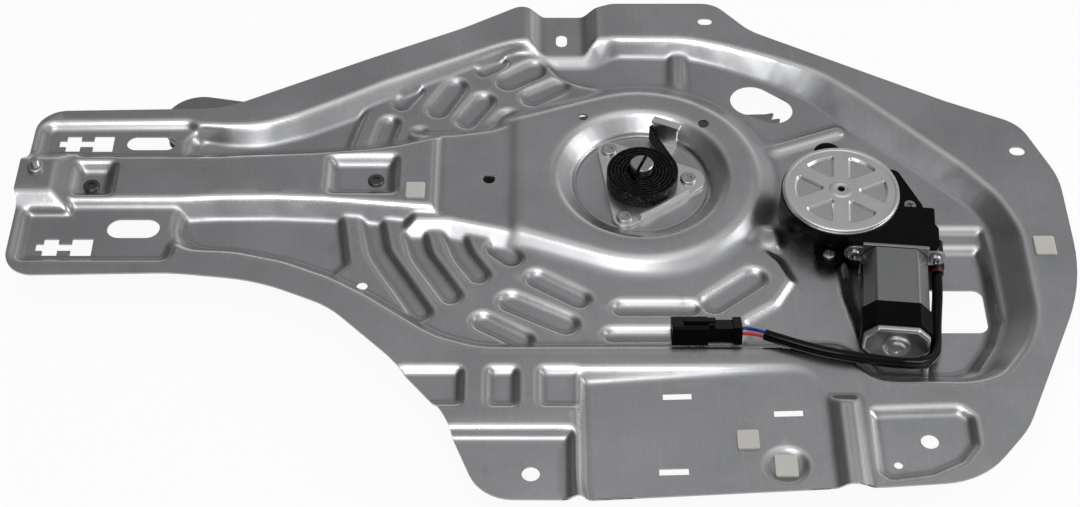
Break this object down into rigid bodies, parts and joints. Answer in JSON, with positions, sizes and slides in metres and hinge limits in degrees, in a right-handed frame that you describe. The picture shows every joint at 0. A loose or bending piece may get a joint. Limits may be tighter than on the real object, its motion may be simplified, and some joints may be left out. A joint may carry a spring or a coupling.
{
  "type": "window regulator",
  "caption": "Power window regulator: stamped carrier panel with a scissor linkage and toothed sector behind it, a clock spring at the pivot and a worm gear motor with its cable.",
  "frame": {"origin": "middle of the bounding box at its lowest level, without the cable", "axes": "+X along the door towards the motor end, +Y up the door, +Z from the glass side to the trim side"},
  "size_m": [0.632, 0.3938, 0.0468],
  "materials": {
    "galvanised_sheet": "satin galvanised",
    "arm_steel": "dark phosphated",
    "rivet_steel": "satin",
    "zinc_plate": "satin zinc plated",
    "screw_steel": "satin",
    "shaft_steel": "machined",
    "spring_steel": "oiled black",
    "can_steel": "satin gunmetal",
    "case_plastic": "moulded",
    "connector_plastic": "moulded",
    "slider_plastic": "moulded",
    "wheel_plastic": "moulded",
    "clip_plastic": "moulded",
    "band_rubber": "matt",
    "grommet_red": "matt",
    "sleeve_black": "soft",
    "lead_blue": "soft",
    "lead_red": "soft"
  },
  "bodies": {
    "root": {"panel": "galvanised_sheet", "guide_rail": "galvanised_sheet", "rail_rivets": "rivet_steel", "pivot_plate": "zinc_plate", "pivot_plate_rivets": "rivet_steel", "pivot_bush": "slider_plastic", "clock_spring": "spring_steel", "gear_case": "case_plastic", "gear_cover": "zinc_plate", "case_screws": "screw_steel", "motor_flange": "screw_steel", "motor_can": "can_steel", "motor_band": "band_rubber", "motor_end_cap": "can_steel", "can_screws": "screw_steel", "cable_grommet": "grommet_red", "cable_sleeve": "sleeve_black", "lead_blue": "lead_blue", "lead_red": "lead_red", "connector": "connector_plastic", "plastic_clips": "clip_plastic", "end_stud": "rivet_steel", "locating_pin": "rivet_steel"},
    "lift": {"lift_arm": "arm_steel", "sector_gear": "arm_steel", "sector_rivets": "rivet_steel", "pivot_shaft": "shaft_steel", "lift_stud": "rivet_steel"},
    "equaliser": {"equaliser_lower": "arm_steel", "equaliser_upper": "arm_steel", "scissor_pin": "rivet_steel", "rail_stud": "rivet_steel", "equaliser_stud": "rivet_steel"},
    "rail_shoe": {"rail_slider": "slider_plastic"},
    "lift_shoe": {"lift_slider": "slider_plastic"},
    "equaliser_shoe": {"equaliser_slider": "slider_plastic"},
    "pinion": {"drive_pinion": "shaft_steel", "worm_wheel": "wheel_plastic"}
  },
  "joints": [
    {"name": "lift_turn", "type": "hinge", "parent": "root", "child": "lift", "pos_m": [0.0625, 0.0436, 0.0153], "axis": [0, 0, 1], "range_deg": [-36, 63], "deforming": ["clock_spring"]},
    {"name": "equaliser_turn", "type": "hinge", "parent": "lift", "child": "equaliser", "pos_m": [-0.07634, 0.07336, 0.0153], "axis": [0, 0, 1], "range_deg": [-127, 73]},
    {"name": "rail_shoe_turn", "type": "hinge", "parent": "equaliser", "child": "rail_shoe", "pos_m": [-0.21344, 0.03637, 0.0238], "axis": [0, 0, 1], "range_deg": [-37, 64]},
    {"name": "lift_shoe_turn", "type": "hinge", "parent": "lift", "child": "lift_shoe", "pos_m": [-0.21519, 0.10313, 0.004], "axis": [0, 0, 1], "range_deg": [-64, 37]},
    {"name": "equaliser_shoe_turn", "type": "hinge", "parent": "equaliser", "child": "equaliser_shoe", "pos_m": [0.06075, 0.11036, 0.004], "axis": [0, 0, 1], "range_deg": [-37, 64]},
    {"name": "pinion_turn", "type": "hinge", "parent": "root", "child": "pinion", "pos_m": [0.18021, 0.01556, 0.01255], "axis": [0, 0, 1], "range_deg": [-633, 363]}
  ],
  "couplings": [
    {"joint": "equaliser_turn", "follows": "lift_turn", "ratio": -2},
    {"joint": "rail_shoe_turn", "follows": "lift_turn", "ratio": 1},
    {"joint": "lift_shoe_turn", "follows": "lift_turn", "ratio": -1},
    {"joint": "equaliser_shoe_turn", "follows": "lift_turn", "ratio": 1},
    {"joint": "pinion_turn", "follows": "lift_turn", "ratio": -10}
  ]
}
